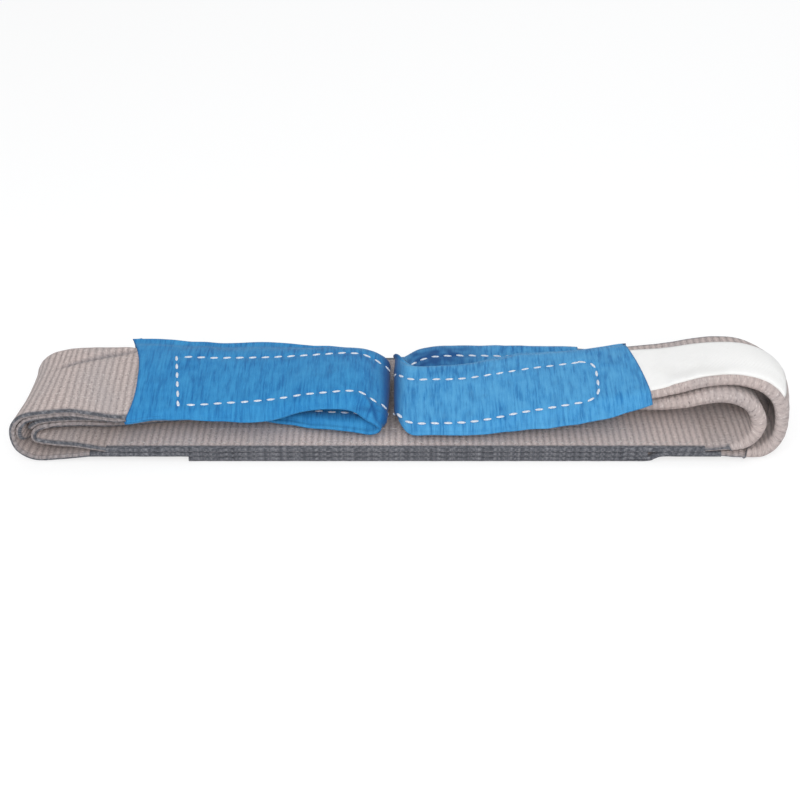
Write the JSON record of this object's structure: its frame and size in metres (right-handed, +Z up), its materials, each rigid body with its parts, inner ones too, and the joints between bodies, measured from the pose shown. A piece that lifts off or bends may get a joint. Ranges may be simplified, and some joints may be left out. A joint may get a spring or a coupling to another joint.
{
  "type": "flat web sling",
  "caption": "Flat woven web lifting sling with sleeved eyes at both ends, folded into a storage bundle: sewn two-ply body beneath, both eyes laid back over it tip to tip.",
  "frame": {"origin": "middle of the folded bundle's footprint, on the surface it lies on", "axes": "+X along the bundle towards the end with the label, +Y across the web, away from the edge that the eyes' own folded edges are nearest to, +Z up"},
  "size_m": [0.4732, 0.1023, 0.0499],
  "materials": {
    "web": "coarse ribbed polyester webbing, grey-brown with darker selvedges",
    "wear_sleeve": "matt bright-blue woven sleeve cloth",
    "seam_thread": "grey polyester sewing thread",
    "sleeve_thread": "white polyester sewing thread",
    "label": "plain white woven label tape"
  },
  "bodies": {
    "web_body": {"body_upper_ply": "web", "body_lower_ply": "web", "lap_ply": "web", "body_seams": "seam_thread", "lap_seam": "seam_thread", "left_outer_fold": "web", "left_inner_fold": "web", "right_outer_fold": "web", "right_inner_fold": "web"},
    "left_eye": {"left_eye_web": "web", "left_sleeve": "wear_sleeve", "left_sleeve_stitching": "sleeve_thread"},
    "right_eye": {"right_eye_web": "web", "right_sleeve": "wear_sleeve", "right_sleeve_stitching": "sleeve_thread", "label": "label"}
  },
  "joints": [
    {"name": "left_eye_lift", "type": "hinge", "parent": "web_body", "child": "left_eye", "pos_m": [-0.234, 0, 0.021], "axis": [0, -1, 0], "range_deg": [0, 180], "deforming": ["left_outer_fold", "left_inner_fold"]},
    {"name": "right_eye_lift", "type": "hinge", "parent": "web_body", "child": "right_eye", "pos_m": [0.232, 0, 0.025], "axis": [0, 1, 0], "range_deg": [0, 180], "deforming": ["right_outer_fold", "right_inner_fold", "label"]}
  ]
}
